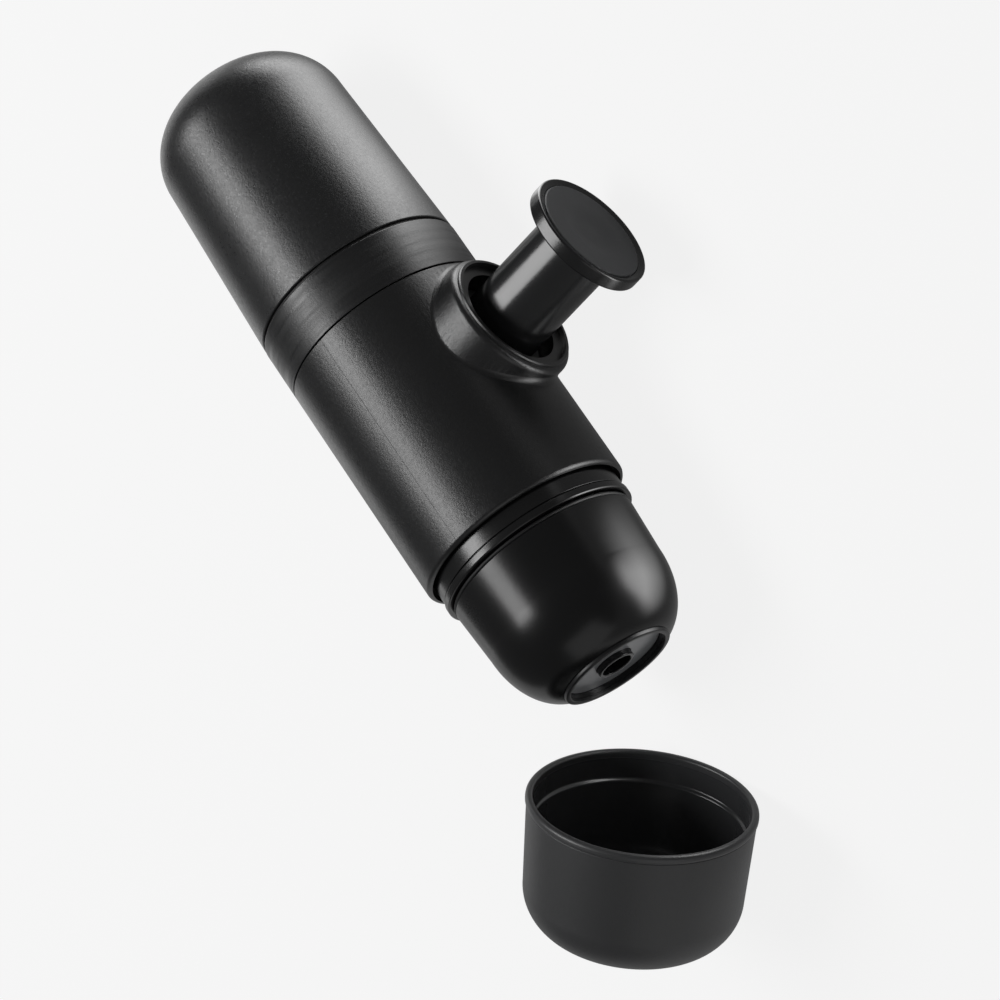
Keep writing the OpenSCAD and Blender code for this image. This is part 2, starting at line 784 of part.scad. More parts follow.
module outlet_ring() {
    out = outlet_ring_d / 2;
    low = tip_z - tip_step + 0.02;
    color("#1c1c1e") laid() spin([
        [out - 1.5, low], [out, low], [out, tip_z - 0.4], [out - 0.4, tip_z], [out - 1.2, tip_z],
        [out - 1.5, tip_z - 0.3]]);
}

module spout_disc() {
    color("#2b2b2e") laid()
        tube(tip_z - 3.68, tip_z - 2.3, outlet_ring_d / 2 - 1.9, nozzle_r + fit);
}

module spout_nozzle() {
    mouth = tip_z - nozzle_back;
    flange = bowl_end - 0.8;
    color("#0e0e10") laid() difference() {
        spin([[0, flange], [nozzle_r + 1.2, flange], [nozzle_r + 1.2, bowl_end - 0.02],
            [nozzle_r, bowl_end - 0.02], [nozzle_r, mouth - 0.3], [nozzle_r - 0.3, mouth], [0, mouth]]);
        rod(flange - past, pocket_z + past, spout_d / 2);
        rod(pocket_z, mouth + past, spout_pocket_d / 2);
    }
}

// ---- Cup, drawn upright from its foot ----

module cup_shell() {
    wall = 0.9;
    low_r = cup_low_d / 2;
    base_r = low_r - cup_base_r;
    top_z = cup_h - 2.2;
    color("#353538") cup_place() spin(concat(
        [[0, 0]], arc([base_r, cup_base_r], cup_base_r, cup_base_r, -90, 0, 24),
        [[cup_top_d / 2, top_z], [cup_top_d / 2 - wall, top_z]],
        arc([base_r, cup_base_r], cup_base_r - wall, cup_base_r - wall, 0, -90, 10), [[0, wall]]));
}

module cup_liner() {
    skin = 1;
    wall = 0.8;
    low_r = cup_low_d / 2;
    base_r = low_r - cup_base_r;
    mouth_r = cup_mouth_d / 2;
    inside_r = cup_inside_d / 2;
    top_z = cup_h - 2.15;
    ledge_z = cup_h - cup_ledge_depth;
    bowl = cup_base_r - skin - wall;
    low_in = min(inside_r - 0.4, low_r - skin - wall);
    color("#121214") cup_place() spin(concat(
        [[0, skin]], arc([base_r, cup_base_r], cup_base_r - skin, cup_base_r - skin, -90, 0, 10),
        [[cup_top_d / 2 - skin, top_z], [cup_top_d / 2, top_z], [cup_r, top_z + 0.55]],
        arc([cup_r - 0.9, cup_h - 0.9], 0.9, 0.9, 0, 90, 5),
        [[mouth_r + 0.6, cup_h], [mouth_r, cup_h - 0.6], [mouth_r, ledge_z], [inside_r, ledge_z - 0.5]],
        arc([low_in - bowl, cup_base_r], bowl, bowl, 0, -90, 10), [[0, skin + wall]]));
}

tank_shell();
tank_gasket();
band_ring();
main_housing();
collar_guide();
sleeve_wiper();
pump_block();
pump_cylinder();
intake_strainer();
inlet_seat();
inlet_valve();
inlet_spring();
outlet_valve();
outlet_spring();
outlet_retainer();
air_valve();
port_seal();
brew_block();
block_screws();
neck_ring();
shower_screen();
screen_screw();
brew_seal();
plunger_rod();
piston_seal();
spring_seat();
return_spring();
handle_sleeve();
knob_disc();
knob_pad();
filter_basket();
basket_screen();
outlet_head();
head_grip_ring();
outlet_filter();
outlet_ring();
spout_disc();
spout_nozzle();
cup_shell();
cup_liner();
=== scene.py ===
import json
import math

import bmesh
import bpy
from mathutils import Matrix, Vector


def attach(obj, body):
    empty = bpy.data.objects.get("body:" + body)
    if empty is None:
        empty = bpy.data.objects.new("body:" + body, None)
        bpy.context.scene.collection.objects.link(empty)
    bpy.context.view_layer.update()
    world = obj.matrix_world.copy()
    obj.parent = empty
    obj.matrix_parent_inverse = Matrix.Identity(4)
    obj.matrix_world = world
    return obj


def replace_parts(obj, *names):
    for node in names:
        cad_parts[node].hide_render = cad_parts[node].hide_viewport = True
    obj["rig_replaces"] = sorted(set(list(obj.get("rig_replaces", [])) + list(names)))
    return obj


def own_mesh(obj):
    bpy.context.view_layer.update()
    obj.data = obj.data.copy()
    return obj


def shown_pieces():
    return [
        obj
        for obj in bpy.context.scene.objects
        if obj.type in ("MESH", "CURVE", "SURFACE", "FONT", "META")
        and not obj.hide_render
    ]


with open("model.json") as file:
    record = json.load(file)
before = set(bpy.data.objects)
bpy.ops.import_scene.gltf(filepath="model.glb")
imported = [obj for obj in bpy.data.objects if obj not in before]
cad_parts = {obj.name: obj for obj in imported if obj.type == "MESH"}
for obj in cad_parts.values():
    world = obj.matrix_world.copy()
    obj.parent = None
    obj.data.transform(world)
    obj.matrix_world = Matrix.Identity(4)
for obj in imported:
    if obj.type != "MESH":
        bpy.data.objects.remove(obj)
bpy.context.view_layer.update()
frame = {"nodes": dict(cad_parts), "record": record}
nodes = frame["nodes"]
record = frame["record"]
bodyOf = {node: body for body, held in record["behaviour"]["bodies"].items() for node in held}
slotOf = {part["node"]: part["material_slot"] for part in record["subparts"]}
mm = 0.001
print("frame loaded:", len(nodes), "pieces")


# A socket that takes part in plain arithmetic
class Wire:
    def __init__(self, paint, socket):
        self.paint = paint
        self.socket = socket

    def math(self, operation, first, second=0.0):
        return self.paint.add("ShaderNodeMath", {"operation": operation}, {0: first, 1: second})

    def __add__(self, other):
        return self.math("ADD", self, other)

    def __radd__(self, other):
        return self.math("ADD", other, self)

    def __sub__(self, other):
        return self.math("SUBTRACT", self, other)

    def __rsub__(self, other):
        return self.math("SUBTRACT", other, self)

    def __mul__(self, other):
        return self.math("MULTIPLY", self, other)

    def __rmul__(self, other):
        return self.math("MULTIPLY", other, self)


# One material and the nodes it is made of
class Paint:
    def __init__(self, name):
        self.material = bpy.data.materials.new(name)
        self.material.use_nodes = True
        self.tree = self.material.node_tree
        self.tree.nodes.clear()

    def add(self, kind, settings=None, sockets=None, out=0):
        node = self.tree.nodes.new(kind)
        for key, value in (settings or {}).items():
            if key == "stops":
                self.setStops(node, value)
            else:
                setattr(node, key, value)
        for key, value in (sockets or {}).items():
            if isinstance(value, Wire):
                self.tree.links.new(value.socket, node.inputs[key])
            else:
                node.inputs[key].default_value = value
        return Wire(self, node.outputs[out])

    def setStops(self, node, stops):
        ramp = node.color_ramp
        while len(ramp.elements) < len(stops):
            ramp.elements.new(0.5)
        for element, (place, colour) in zip(ramp.elements, stops):
            element.position = place
            element.color = colour

    def place(self):
        return self.add("ShaderNodeTexCoord", out="Object")

    def noise(self, where, scale, detail=2.0, rough=0.5):
        return self.add("ShaderNodeTexNoise", {"noise_dimensions": "3D"},
                        {"Vector": where, "Scale": scale, "Detail": detail, "Roughness": rough}, "Fac")

    def ramp(self, value, stops):
        grey = [(at, (level, level, level, 1)) for at, level in stops]
        return self.add("ShaderNodeValToRGB", {"stops": grey}, {"Fac": value}, "Color")

    def mix(self, share, first, second):
        return self.add("ShaderNodeMix", {"data_type": "RGBA"},
                        {"Factor": share, "A": first, "B": second}, "Result")

    def bump(self, height, strength, distance):
        return self.add("ShaderNodeBump", None,
                        {"Height": height, "Strength": strength, "Distance": distance}, "Normal")

    def finish(self, shader):
        end = self.tree.nodes.new("ShaderNodeOutputMaterial")
        self.tree.links.new(shader.socket, end.inputs["Surface"])
        return self.material


def grey(level, tint=0.0):
    return (level * (1 - tint), level, level * (1 + 2 * tint), 1)


mouldSet = {"speckEdge": [(0.62, 0.0), (0.74, 1.0)], "tint": 0.02, "streakStretch": (700.0, 26.0, 26.0),
            "streakHeight": 0.8, "partingEdge": [(0.10, 1.0), (0.32, 0.0)], "partingHeight": 0.5,
            "lipScale": 100.0, "lipStart": 14.5, "lipEdge": [(0.20, 0.0), (0.26, 0.18)]}


# Moulded plastic: a fine grain from the mould, a slow change of sheen, light specks,
# and where a look asks for them, wipe marks round the long axis and a parting line
def mouldedPlastic(name, look):
    paint = Paint(name)
    where = paint.place()
    grain = paint.noise(where, look["grainScale"], 3.0, 0.6)
    mottle = paint.noise(where, look["mottleScale"], 3.0, 0.6)
    slow = paint.noise(where, look["slowScale"], 4.0, 0.55)
    specks = paint.ramp(paint.noise(where, look["speckScale"], 1.0), mouldSet["speckEdge"])
    tint = mouldSet["tint"]
    colour = paint.mix(slow, grey(look["dark"], tint), grey(look["light"], tint))
    colour = paint.mix(specks * look["speckShare"], colour, grey(look["speckLevel"], tint))
    spread = look["roughSpread"]
    roughness = look["rough"] + (slow - 0.5) * spread + (mottle - 0.5) * look["mottleSpread"]
    height = grain + mottle * look["mottleHeight"]
    if look["streaks"]:
        pulled = paint.add("ShaderNodeMapping", None, {"Vector": where, "Scale": mouldSet["streakStretch"]})
        streaks = paint.noise(pulled, 1.0, 4.0, 0.6)
        roughness = roughness + (streaks - 0.5) * look["streaks"]
        height = height + streaks * mouldSet["streakHeight"]
    if look["parting"]:
        apart = paint.add("ShaderNodeVectorMath", {"operation": "DOT_PRODUCT"},
                          {0: where, 1: look["parting"]}, "Value")
        line = paint.ramp(apart.math("ABSOLUTE", apart * 1000.0), mouldSet["partingEdge"])
        height = height + line * mouldSet["partingHeight"]
    if look["lip"]:
        along = paint.add("ShaderNodeVectorMath", {"operation": "DOT_PRODUCT"},
                          {0: where, 1: look["lip"]}, "Value")
        onLip = along * mouldSet["lipScale"] + mouldSet["lipStart"]
        roughness = roughness + paint.ramp(onLip, mouldSet["lipEdge"])
    normal = paint.bump(height, look["grainStrength"], look["grainDepth"])
    shader = paint.add("ShaderNodeBsdfPrincipled", None, {
        "Base Color": colour, "Roughness": roughness, "Normal": normal,
        "Specular IOR Level": look["specular"]}, "BSDF")
    return paint.finish(shader)


plasticLook = {
    "dark": 0.010, "light": 0.016, "grainScale": 3200.0, "grainStrength": 0.35, "grainDepth": 0.00012,
    "mottleScale": 1100.0, "mottleSpread": 0.10, "mottleHeight": 0.6, "slowScale": 45.0, "speckScale": 1500.0,
    "speckShare": 0.10, "speckLevel": 0.05, "rough": 0.36, "roughSpread": 0.08, "specular": 0.9,
    "streaks": 0.0, "parting": None, "lip": None}


def look(**changes):
    return {**plasticLook, **changes}


# Stainless steel with fine turning marks round the maker's long axis
def turnedSteel(name, steel):
    paint = Paint(name)
    where = paint.place()
    stretched = paint.add("ShaderNodeMapping", None, {"Vector": where, "Scale": steel["stretch"]})
    lines = paint.noise(stretched, steel["lineScale"], 4.0, 0.6)
    colour = paint.mix(lines, grey(steel["dark"]), grey(steel["light"]))
    roughness = steel["rough"] + (lines - 0.5) * steel["roughSpread"]
    normal = paint.bump(lines, steel["strength"], steel["depth"])
    shader = paint.add("ShaderNodeBsdfPrincipled", None, {
        "Base Color": colour, "Metallic": 1.0, "Roughness": roughness, "Normal": normal}, "BSDF")
    return paint.finish(shader)


# Finishes of the pieces; the pad, the disc and the cup are in shade and written lighter than they look

roll = math.radians(11.23916)
tankLook = look(dark=0.019, light=0.027, rough=0.33, mottleScale=1200.0, mottleSpread=0.34, mottleHeight=1.2,
                speckShare=0.30, speckLevel=0.10)
bandLook = look(dark=0.016, light=0.024, rough=0.37, grainDepth=0.00009, streaks=0.50, specular=0.8)
housingLook = look(dark=0.014, light=0.019, rough=0.32, mottleSpread=0.20, mottleHeight=1.0, speckShare=0.15,
                   parting=(0.0, math.cos(roll), math.sin(roll)))
domeLook = look(dark=0.007, light=0.011, rough=0.25, grainDepth=0.00002, mottleSpread=0.04, speckShare=0.0,
                specular=0.65)
sleeveLook = look(dark=0.022, light=0.027, rough=0.21, grainDepth=0.00002, mottleSpread=0.04, speckShare=0.0)
guideLook = look(dark=0.008, light=0.012, rough=0.30, grainDepth=0.00004, speckShare=0.0)
knobLook = look(dark=0.011, light=0.016, rough=0.22, grainDepth=0.00003, speckShare=0.0)
# Painted light: the pad's colour is lifted to make up for the shade it lies in
padLook = look(dark=0.125, light=0.145, rough=0.52, grainScale=4200.0, grainDepth=0.00010, specular=0.7)
neckLook = look(dark=0.007, light=0.011, rough=0.22, grainDepth=0.00003, streaks=0.12, speckShare=0.0)
ringLook = look(dark=0.016, light=0.022, rough=0.34, grainDepth=0.00003, speckShare=0.0, specular=0.7)
# Painted light and painted reflection: the disc's light grey makes up for its shade and stands in for a bright
# reflection of the pale floor
discLook = look(dark=0.36, light=0.40, rough=0.24, grainDepth=0.00003, speckShare=0.0, specular=1.0)
# Painted light: the cup's shell and liner colours are lifted to make up for the shade they sit in
cupLook = look(dark=0.050, light=0.060, rough=0.46, grainDepth=0.00009)
linerLook = look(lip=(0.548192, -0.834542, 0.055001), dark=0.057, light=0.068, rough=0.20,
                 grainDepth=0.00002, mottleSpread=0.05, speckShare=0.0)
innerLook = look(dark=0.016, light=0.024, rough=0.45)
whiteLook = look(dark=0.62, light=0.70, rough=0.42, speckShare=0.0)
valveLook = look(dark=0.108, light=0.135, rough=0.55, speckShare=0.0)
rubberLook = look(dark=0.008, light=0.014, rough=0.58, grainDepth=0.00006, speckShare=0.0)
steelLook = {"stretch": (900.0, 40.0, 40.0), "lineScale": 3.0, "dark": 0.50, "light": 0.66, "rough": 0.27,
             "roughSpread": 0.16, "strength": 0.25, "depth": 0.00004}

finishes = {
    "tank_satin": mouldedPlastic("tankSatin", tankLook),
    "band_matte": mouldedPlastic("bandMatte", bandLook),
    "housing_satin": mouldedPlastic("housingSatin", housingLook),
    "gloss_black": mouldedPlastic("domeGloss", domeLook),
    "sleeve_gloss": mouldedPlastic("sleeveGloss", sleeveLook),
    "knob_gloss": mouldedPlastic("knobGloss", knobLook),
    "pad_soft": mouldedPlastic("padSoft", padLook),
    "neck_black": mouldedPlastic("neckBlack", neckLook),
    "ring_grey": mouldedPlastic("outletLip", ringLook),
    "disc_grey": mouldedPlastic("outletDisc", discLook),
    "cup_matte": mouldedPlastic("cupMatte", cupLook),
    "guide_black": mouldedPlastic("guideBlack", guideLook),
    "liner_gloss": mouldedPlastic("linerGloss", linerLook),
    "inner_black": mouldedPlastic("innerBlack", innerLook),
    "white_plastic": mouldedPlastic("whitePlastic", whiteLook),
    "valve_rubber": mouldedPlastic("valveRubber", valveLook),
    "seal_rubber": mouldedPlastic("sealRubber", rubberLook),
    "steel": turnedSteel("turnedSteel", steelLook)}
ownFinish = {"handle_sleeve": "sleeve_gloss", "collar_guide": "guide_black", "cup_liner": "liner_gloss"}


def finishOf(node):
    return finishes[ownFinish.get(node, slotOf[node])]


print("finishes made")


# Making and placing pieces; sizes below are in millimetres, upright, as in the construction

layout = {"tip": 198.5, "neck": 161.9, "rim": 155.2, "band": 88.0, "seam": 72.0, "pump": 109.3,
          "body": 30.0, "around": 160, "fine": 192, "sharp": math.radians(24)}


# Axes of the maker (z upright runs to -X), of its pump and of the cup
def frameOf(along, across, origin):
    along, across = Vector(along).normalized(), Vector(across).normalized()
    turn = Matrix((across, along.cross(across), along)).transposed().to_4x4()
    return Matrix.Translation(Vector(origin) * mm) @ turn @ Matrix.Scale(mm, 4)


mainAxis = frameOf((-1, 0, 0), (0, 1, 0), (0, 0, 0))
pumpAxis = frameOf((0, -math.cos(roll), -math.sin(roll)), (1, 0, 0), (-layout["pump"], 0, 0))
cupLie = {"mouth": (-227.5, 19.0, 0.04263), "turn": -56.7, "tilt": 3.15290, "height": 38.2}
cupAxis = (Matrix.Translation(Vector(cupLie["mouth"]) * mm)
           @ Matrix.Rotation(math.radians(cupLie["turn"]), 4, "Z")
           @ Matrix.Rotation(math.radians(90 - cupLie["tilt"]), 4, "Y")
           @ Matrix.Scale(mm, 4) @ Matrix.Translation((0, 0, -cupLie["height"])))


def settle(bm, name, material, body, stands=()):
    for face in bm.faces:
        face.smooth = True
    for edge in bm.edges:
        edge.smooth = edge.calc_face_angle(0.0) < layout["sharp"]
    mesh = bpy.data.meshes.new(name)
    bm.to_mesh(mesh)
    bm.free()
    mesh.materials.append(material)
    piece = bpy.data.objects.new(name, mesh)
    bpy.context.scene.collection.objects.link(piece)
    normals = piece.modifiers.new("normals", "WEIGHTED_NORMAL")
    normals.keep_sharp = True
    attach(piece, body)
    if stands:
        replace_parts(piece, *stands)
    return piece


# A carried-over piece with its triangles joined, so that its round faces shade smoothly
def smoothCopy(node):
    bm = bmesh.new()
    bm.from_mesh(nodes[node].data)
    bmesh.ops.remove_doubles(bm, verts=bm.verts, dist=1e-6)
    bmesh.ops.dissolve_degenerate(bm, dist=1e-7, edges=bm.edges)
    return settle(bm, node + "-smooth", finishOf(node), bodyOf[node], [node])


# Points of an elliptic arc, from angle a to angle b in degrees
def arc(r, z, wide, high, a, b, steps):
    turns = [math.radians(a + (b - a) * i / steps) for i in range(steps + 1)]
    return [(r + wide * math.cos(t), z + high * math.sin(t), 0) for t in turns]


# A turned piece: corners are (radius, height, rounding), joined in turn
# and closed unless both ends meet the axis
def turned(corners, axis, around=None):
    bm = bmesh.new()
    points = [bm.verts.new((r, 0, z)) for r, z, _ in corners]
    for first, second in zip(points, points[1:]):
        bm.edges.new((first, second))
    if corners[0][0] > 0 or corners[-1][0] > 0:
        bm.edges.new((points[-1], points[0]))
    for size in sorted({rounding for _, _, rounding in corners if rounding > 0}):
        chosen = [point for point, corner in zip(points, corners) if corner[2] == size]
        bmesh.ops.bevel(bm, geom=chosen, offset=size, offset_type="OFFSET", segments=5, profile=0.5,
                        affect="VERTICES", material=-1)
    bmesh.ops.spin(bm, geom=bm.verts[:] + bm.edges[:], cent=(0, 0, 0), axis=(0, 0, 1), dvec=(0, 0, 0),
                   angle=2 * math.pi, steps=around or layout["around"], use_merge=True)
    bmesh.ops.remove_doubles(bm, verts=bm.verts, dist=1e-4)
    bmesh.ops.recalc_face_normals(bm, faces=bm.faces)
    bmesh.ops.transform(bm, matrix=axis, verts=bm.verts)
    return bm


def turnedPiece(name, corners, axis, node, around=None):
    return settle(turned(corners, axis, around), name, finishOf(node), bodyOf[node], [node])


# Tank

tankSet = {"mouth": 29.9, "end": 27.7, "round": 19.0, "foot": 7.0, "wall": 2.4, "bore": 26.3, "boreEnd": 43.1}


def makeTank():
    t = tankSet
    seam = layout["seam"]
    outside = arc(t["foot"], t["round"], t["end"] - t["foot"], t["round"], -90, 0, 40)
    inside = arc(t["foot"], t["round"], t["end"] - t["foot"] - t["wall"], t["round"] - t["wall"], 0, -90, 24)
    wallSteps = [(t["end"] + (t["mouth"] - t["end"]) * i / 8, t["round"] + (seam - t["round"]) * i / 8, 0)
                 for i in range(1, 8)]
    corners = ([(0, 0, 0)] + outside + wallSteps
               + [(t["mouth"], seam, 0.45), (t["bore"], seam, 0.2), (t["bore"], t["boreEnd"], 0)]
               + inside + [(0, t["wall"], 0)])
    return turnedPiece("tankShell", corners, mainAxis, "tank_shell", layout["fine"])


makeTank()

# Band, neck and outlet head

bandSet = {"low": 72.9, "high": 87.85, "in": 26.15, "deck": 78.85, "inner": 27.4}
neckSet = {"wall": 26.15, "out": 27.7, "ridge": 28.1, "line": 159.5, "lineDepth": 0.35}
headSet = {"top": 146.9, "male": 23.7, "maleIn": 21.3, "shoulder": 162.2, "seat": 25.9, "seatEnd": 163.3,
           "out": 26.9, "domeZ": 178.5, "domeR": 26.0, "run": 13.0, "ring": 15.8, "recess": 14.0,
           "recessZ": 194.8, "hole": 5.35, "bowlEnd": 191.3, "bowlR": 9.5, "ledge": 19.8, "filterSeat": 170.02}


def makeBand():
    b = bandSet
    out = layout["body"]
    corners = [(b["in"], b["low"], 0), (out, b["low"], 0.4), (out, b["high"], 0.2), (b["inner"], b["high"], 0),
               (b["inner"], b["deck"], 0), (b["in"], b["deck"], 0)]
    return turnedPiece("bandRing", corners, mainAxis, "band_ring", layout["fine"])


def makeNeck():
    n = neckSet
    low, end, line = layout["rim"] - 4, layout["neck"], n["line"]
    corners = [(n["wall"], low, 0), (n["out"], low, 0), (n["out"], line - 0.12, 0.08),
               (n["out"] - n["lineDepth"], line + 0.03, 0), (n["out"] - n["lineDepth"], line + 0.15, 0),
               (n["ridge"], line + 0.3, 0.32), (n["ridge"], end, 0.45), (n["wall"], end, 0)]
    return turnedPiece("neckRing", corners, mainAxis, "neck_ring", layout["fine"])


def makeHead():
    h = headSet
    tip = layout["tip"]
    endTurn = math.acos((h["ring"] - h["domeR"] + h["run"]) / h["run"])
    domeHalf = (tip - 1 - h["domeZ"]) / math.sin(endTurn)
    dome = arc(h["domeR"] - h["run"], h["domeZ"], h["run"], domeHalf, 0, math.degrees(endTurn), 44)
    flank = [(h["out"] + (h["domeR"] - h["out"]) * i / 5,
              h["seatEnd"] + (h["domeZ"] - h["seatEnd"]) * i / 5, 0) for i in range(1, 5)]
    bowl = arc(h["bowlR"], h["domeZ"], h["ledge"] - h["bowlR"], h["bowlEnd"] - h["domeZ"], 90, 0, 20)
    corners = ([(h["maleIn"], h["top"], 0), (h["male"], h["top"], 0.3), (h["male"], h["shoulder"], 0),
                (h["seat"], h["shoulder"], 0), (h["seat"], h["seatEnd"], 0), (h["out"], h["seatEnd"], 0.3)]
               + flank + dome
               + [(h["recess"], tip - 1, 0), (h["recess"], h["recessZ"], 0), (h["hole"], h["recessZ"], 0),
                  (h["hole"], h["bowlEnd"], 0)] + bowl
               + [(h["ledge"], h["filterSeat"], 0), (h["maleIn"], h["filterSeat"], 0)])
    return turnedPiece("outletHead", corners, mainAxis, "outlet_head", layout["fine"])


outletSet = {"lipIn": 14.3, "lipOut": 15.8, "lipDeep": 0.98, "discOut": 13.9, "discLow": 3.68, "discHigh": 2.3,
             "bore": 2.6, "flange": 6.4, "flangeLow": 190.5, "flangeHigh": 191.28, "nozzle": 5.2, "back": 0.7,
             "pocket": 4.2, "pocketFloor": 193.3}


def makeOutlet():
    o = outletSet
    tip = layout["tip"]
    lip = [(o["lipIn"], tip - o["lipDeep"], 0), (o["lipOut"], tip - o["lipDeep"], 0), (o["lipOut"], tip, 0.42),
           (o["lipIn"], tip, 0.3)]
    turnedPiece("outletLip", lip, mainAxis, "outlet_ring", layout["fine"])
    low, high, hole = tip - o["discLow"], tip - o["discHigh"], headSet["hole"]
    disc = [(hole, low, 0), (o["discOut"], low, 0), (o["discOut"], high, 0.25), (hole, high, 0)]
    turnedPiece("outletDisc", disc, mainAxis, "spout_disc")
    mouth = tip - o["back"]
    nozzle = [(o["bore"], o["flangeLow"], 0), (o["flange"], o["flangeLow"], 0.2),
              (o["flange"], o["flangeHigh"], 0), (o["nozzle"], o["flangeHigh"], 0),
              (o["nozzle"], mouth, 0.28), (o["pocket"], mouth, 0.28),
              (o["pocket"], o["pocketFloor"], 0.4), (o["bore"], o["pocketFloor"], 0)]
    turnedPiece("spoutNozzle", nozzle, mainAxis, "spout_nozzle")


makeBand()
makeNeck()
makeHead()
makeOutlet()

# Knob

knobSet = {"under": 62.9, "face": 66.9, "half": 17.4, "edge": 0.6, "padR": 15.2, "padT": 1.8, "dimple": 9.7,
           "dimpleDepth": 1.15, "sleeve": 11.1, "socket": 9.5, "socketTop": 63.9, "pivot": 2.55, "pivotTop": 64.6}


def makeKnob():
    k = knobSet
    seat = k["face"] - k["padT"] - 0.25
    corners = [(0, k["pivotTop"], 0), (k["pivot"], k["pivotTop"], 0), (k["pivot"], k["under"], 0),
               (k["socket"], k["under"], 0), (k["socket"], k["socketTop"], 0), (k["sleeve"], k["socketTop"], 0),
               (k["sleeve"], k["under"], 0), (k["half"], k["under"], k["edge"]),
               (k["half"], k["face"], k["edge"] + 0.01), (k["half"] - 0.75, k["face"], 0.2),
               (k["padR"] + 0.35, k["face"] - 0.55, 0.2), (k["padR"] + 0.1, k["face"] - 0.6, 0.1),
               (k["padR"] + 0.1, seat, 0), (0, seat, 0)]
    turnedPiece("knobDisc", corners, pumpAxis, "knob_disc", layout["fine"])
    top = k["face"] - 0.2
    steps = 30
    dish = []
    for i in range(steps + 1):
        share = i / steps
        rise = max(0.0, 1 - share / 0.7)
        fall = 0.5 * (1 + math.cos(math.pi * rise))
        dish.append((k["dimple"] * (1 - share), top - k["dimpleDepth"] * fall, 0))
    pad = [(0, top - k["padT"], 0), (k["padR"], top - k["padT"], 0), (k["padR"], top, 0.5)] + dish
    turnedPiece("knobPad", pad, pumpAxis, "knob_pad", layout["fine"])


makeKnob()

# Cup

cupSet = {"lipR": 30.0, "topR": 29.65, "lowR": 28.7, "base": 13.0, "topZ": 36.0, "wall": 0.9, "skin": 1.0,
          "mouth": 28.0, "inside": 27.2, "ledge": 30.2, "lowIn": 26.8, "bowl": 11.2, "floor": 1.8}


def makeCup():
    c = cupSet
    height = cupLie["height"]
    base, baseR = c["base"], c["lowR"] - c["base"]
    outer = arc(baseR, base, base, base, -90, 0, 40)
    inner = arc(baseR, base, base - c["wall"], base - c["wall"], 0, -90, 24)
    wallSteps = [(c["lowR"] + (c["topR"] - c["lowR"]) * i / 4, base + (c["topZ"] - base) * i / 4, 0)
                 for i in range(1, 4)]
    shell = ([(0, 0, 0)] + outer + wallSteps
             + [(c["topR"], c["topZ"], 0.25), (c["topR"] - c["wall"], c["topZ"], 0)] + inner + [(0, c["wall"], 0)])
    turnedPiece("cupShell", shell, cupAxis, "cup_shell", layout["fine"])
    top = c["topZ"] + 0.05
    outer = arc(baseR, base, base - c["skin"], base - c["skin"], -90, 0, 24)
    bowl = arc(c["lowIn"] - c["bowl"], base, c["bowl"], c["bowl"], 0, -90, 40)
    liner = ([(0, c["skin"], 0)] + outer
             + [(c["topR"] - c["skin"], top, 0), (c["topR"], top, 0), (c["lipR"], top + 0.5, 0.2),
                (c["lipR"], height, 0.95), (c["mouth"], height, 0.8), (c["mouth"], c["ledge"], 0.35),
                (c["inside"], c["ledge"] - 0.5, 0.3)] + bowl + [(0, c["floor"], 0)])
    turnedPiece("cupLiner", liner, cupAxis, "cup_liner", layout["fine"])


makeCup()


# Threads: a low ridge wound round a tube, which the plain tubes of the construction leave out

threadSet = {"pitch": 4.0, "wide": 1.1, "sunk": 0.15, "steps": 96}


def makeThread(name, radius, high, low, turns, node):
    t = threadSet
    bm = bmesh.new()
    half = t["wide"] / 2
    section = [(radius - t["sunk"], -half), (radius + high, -half * 0.35), (radius + high, half * 0.35),
               (radius - t["sunk"], half)]
    points = [bm.verts.new((r, 0, low + z)) for r, z in section]
    cap = bm.faces.new(points)
    steps = int(t["steps"] * turns)
    bmesh.ops.spin(bm, geom=[cap] + cap.edges[:] + cap.verts[:], cent=(0, 0, 0), axis=(0, 0, 1),
                   dvec=(0, 0, t["pitch"] * turns / steps), angle=2 * math.pi * turns, steps=steps,
                   use_merge=False)
    bmesh.ops.remove_doubles(bm, verts=bm.verts, dist=1e-4)
    bmesh.ops.recalc_face_normals(bm, faces=bm.faces)
    bmesh.ops.transform(bm, matrix=mainAxis, verts=bm.verts)
    return settle(bm, name, finishOf(node), bodyOf[node])


# The tank's gasket, 26.15 mm in its bore, passes over the spigot's thread
makeThread("spigotThread", 26.0, 0.09, 64.6, 1.6, "pump_block")
makeThread("headThread", 23.7, 0.25, 148.4, 2.6, "outlet_head")
print("turned pieces made")

# Pieces carried over from the construction

# Each spring: its joint, its axis, its fixed end and its length squeezed and free
pump = (0.0, math.cos(roll), math.sin(roll))
springs = {
    "return_spring": ("pump_stroke", pump, (-layout["pump"], 8.49 * pump[1], 8.49 * pump[2]), 41.78, 69.58),
    "inlet_spring": ("inlet_lift", (1, 0, 0), (-93.336, 0, 0), 4.80, 6.00),
    "outlet_spring": ("outlet_lift", (1, 0, 0), (-132.167, 0, 0), 4.43, 5.63)}
for spring, (joint, axis, end, squeezed, free) in springs.items():
    piece = smoothCopy(spring)
    squeezed / free
    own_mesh(piece)

made = {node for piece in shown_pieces() for node in piece.get("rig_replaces", [])}
for node in sorted(nodes):
    if node not in made:
        smoothCopy(node)
print("carried-over pieces joined")


# Floor, light and camera

stage = {"floorLevel": -30.0 * mm, "floorHalf": 3.0, "floorColour": 0.90, "pale": 0.995, "paleShare": 0.86,
         "worldLevel": 0.08, "glowLevel": 4.9, "farGlow": 1.0, "nearGlow": 0.4, "farLevel": 0.9,
         "strip": [(0.06, 0.0), (0.13, 1.0), (0.28, 0.9), (0.5, 0.0)],
         "ends": [(0.12, 0.0), (0.17, 1.0), (0.22, 1.0), (0.29, 0.0), (0.44, 0.0), (0.47, 0.35), (0.52, 0.88),
                  (0.85, 0.88), (1.0, 0.0)],
         "foot": [(0.43, 0.45), (0.50, 1.0)]}


